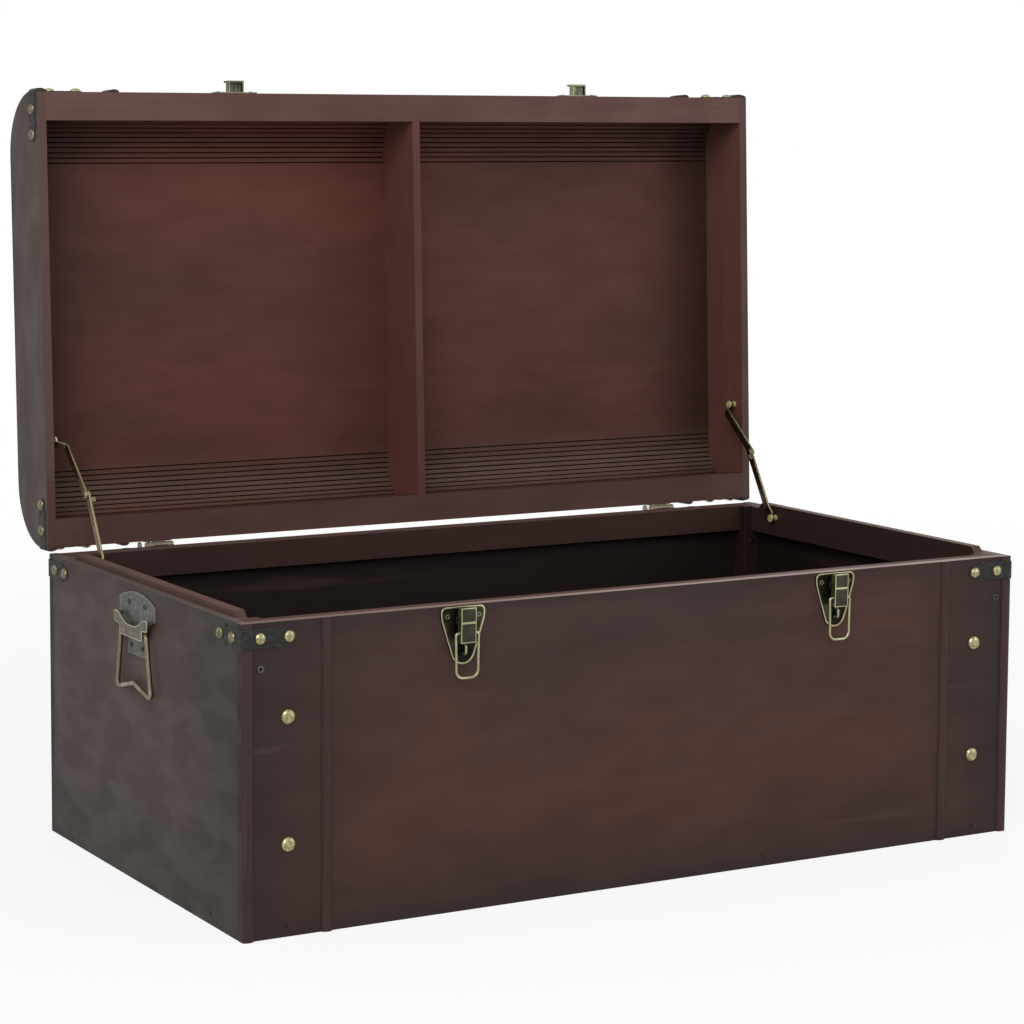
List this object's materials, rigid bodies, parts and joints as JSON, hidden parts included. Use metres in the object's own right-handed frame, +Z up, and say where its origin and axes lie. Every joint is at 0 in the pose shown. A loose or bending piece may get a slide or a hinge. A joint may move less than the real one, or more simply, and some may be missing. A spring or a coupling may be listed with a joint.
{
  "type": "wooden treasure chest",
  "caption": "Wooden chest with a domed, kerf-bent lid on hinges, folding lid stays, toggle latches with wire loops and side bail handles; stores things.",
  "frame": {"origin": "on the floor, under the middle of the whole box round the chest with its lid open", "axes": "+X to the right seen from the front, +Y to the back, +Z up; the lid is open"},
  "size_m": [0.8162, 0.5363, 0.7096],
  "materials": {
    "carcase_wood": "satin stain, worn",
    "side_wood": "satin stain, greyer, with burnished borders",
    "lid_wood": "satin red-brown stain",
    "bead_wood": "satin dark stain",
    "dark_bracket": "satin green-black",
    "pale_brass": "polished",
    "antique_brass": "darkened, bright at the edges",
    "hinge_brass": "satin",
    "stay_metal": "darkened",
    "stay_pivot_brass": "polished"
  },
  "bodies": {
    "base": {"front_panel": "carcase_wood", "back_panel": "carcase_wood", "left_side_panel": "side_wood", "right_side_panel": "side_wood", "bottom_panel": "carcase_wood", "front_left_post": "carcase_wood", "front_right_post": "carcase_wood", "back_left_post": "carcase_wood", "back_right_post": "carcase_wood", "left_lip_rail": "carcase_wood", "right_lip_rail": "carcase_wood", "front_inner_rail": "carcase_wood", "back_inner_rail": "carcase_wood", "front_beads": "bead_wood", "back_beads": "bead_wood", "base_corner_brackets": "dark_bracket", "base_bracket_nails": "pale_brass", "band_nails": "pale_brass", "left_latch_plate": "antique_brass", "right_latch_plate": "antique_brass", "left_handle_plate": "antique_brass", "right_handle_plate": "antique_brass", "left_handle_strap": "antique_brass", "right_handle_strap": "antique_brass", "left_hinge_base_leaf": "hinge_brass", "right_hinge_base_leaf": "hinge_brass", "stay_base_pivots": "stay_pivot_brass"},
    "lid": {"left_lid_catch": "antique_brass", "right_lid_catch": "antique_brass", "left_hinge_lid_leaf": "hinge_brass", "right_hinge_lid_leaf": "hinge_brass", "lid_skin": "lid_wood", "lid_left_end": "lid_wood", "lid_right_end": "lid_wood", "lid_front_rail": "lid_wood", "lid_back_rail": "lid_wood", "lid_centre_rib": "lid_wood", "lid_beads": "bead_wood", "lid_corner_brackets": "dark_bracket", "lid_bracket_nails": "pale_brass", "stay_lid_pivots": "stay_pivot_brass"},
    "left_lever": {"left_latch_lever": "antique_brass"},
    "right_lever": {"right_latch_lever": "antique_brass"},
    "left_loop": {"left_latch_loop": "antique_brass"},
    "right_loop": {"right_latch_loop": "antique_brass"},
    "left_bail": {"left_handle_bail": "antique_brass"},
    "right_bail": {"right_handle_bail": "antique_brass"},
    "left_lower_stay": {"left_stay_lower_link": "stay_metal"},
    "right_lower_stay": {"right_stay_lower_link": "stay_metal"},
    "left_upper_stay": {"left_stay_upper_link": "stay_metal"},
    "right_upper_stay": {"right_stay_upper_link": "stay_metal"}
  },
  "joints": [
    {"name": "lid_hinge", "type": "hinge", "parent": "base", "child": "lid", "pos_m": [0, 0.17569, 0.2657], "axis": [1, 0, 0], "range_deg": [0, 92.35]},
    {"name": "left_lever_pivot", "type": "hinge", "parent": "base", "child": "left_lever", "pos_m": [-0.19435, -0.26451, 0.2584], "axis": [-1, 0, 0], "range_deg": [-7.5, 120]},
    {"name": "left_loop_pivot", "type": "hinge", "parent": "left_lever", "child": "left_loop", "pos_m": [-0.19435, -0.26491, 0.2422], "axis": [1, 0, 0], "range_deg": [-180, 10]},
    {"name": "left_bail_pivot", "type": "hinge", "parent": "base", "child": "left_bail", "pos_m": [-0.4046, -0.04231, 0.226], "axis": [0, 1, 0], "range_deg": [-2.6, 118]},
    {"name": "left_lower_stay_pivot", "type": "hinge", "parent": "base", "child": "left_lower_stay", "pos_m": [-0.3751, 0.09969, 0.258], "axis": [1, 0, 0], "range_deg": [-0.05, 151.19]},
    {"name": "left_upper_stay_pivot", "type": "hinge", "parent": "lid", "child": "left_upper_stay", "pos_m": [-0.3751, 0.19424, 0.36903], "axis": [1, 0, 0], "range_deg": [-74.03, 0.05]},
    {"name": "right_lever_pivot", "type": "hinge", "parent": "base", "child": "right_lever", "pos_m": [0.19435, -0.26451, 0.2584], "axis": [-1, 0, 0], "range_deg": [-7.5, 120]},
    {"name": "right_loop_pivot", "type": "hinge", "parent": "right_lever", "child": "right_loop", "pos_m": [0.19435, -0.26491, 0.2422], "axis": [1, 0, 0], "range_deg": [-180, 10]},
    {"name": "right_bail_pivot", "type": "hinge", "parent": "base", "child": "right_bail", "pos_m": [0.4046, -0.04231, 0.226], "axis": [0, -1, 0], "range_deg": [-2.6, 118]},
    {"name": "right_lower_stay_pivot", "type": "hinge", "parent": "base", "child": "right_lower_stay", "pos_m": [0.3751, 0.09969, 0.258], "axis": [1, 0, 0], "range_deg": [-0.05, 151.19]},
    {"name": "right_upper_stay_pivot", "type": "hinge", "parent": "lid", "child": "right_upper_stay", "pos_m": [0.3751, 0.19424, 0.36903], "axis": [1, 0, 0], "range_deg": [-74.03, 0.05]}
  ],
  "couplings": [
    {"joint": "left_lower_stay_pivot", "follows": "lid_hinge", "ratio": 1.6366},
    {"joint": "left_upper_stay_pivot", "follows": "lid_hinge", "ratio": -0.80105},
    {"joint": "right_lower_stay_pivot", "follows": "lid_hinge", "ratio": 1.6366},
    {"joint": "right_upper_stay_pivot", "follows": "lid_hinge", "ratio": -0.80105}
  ]
}
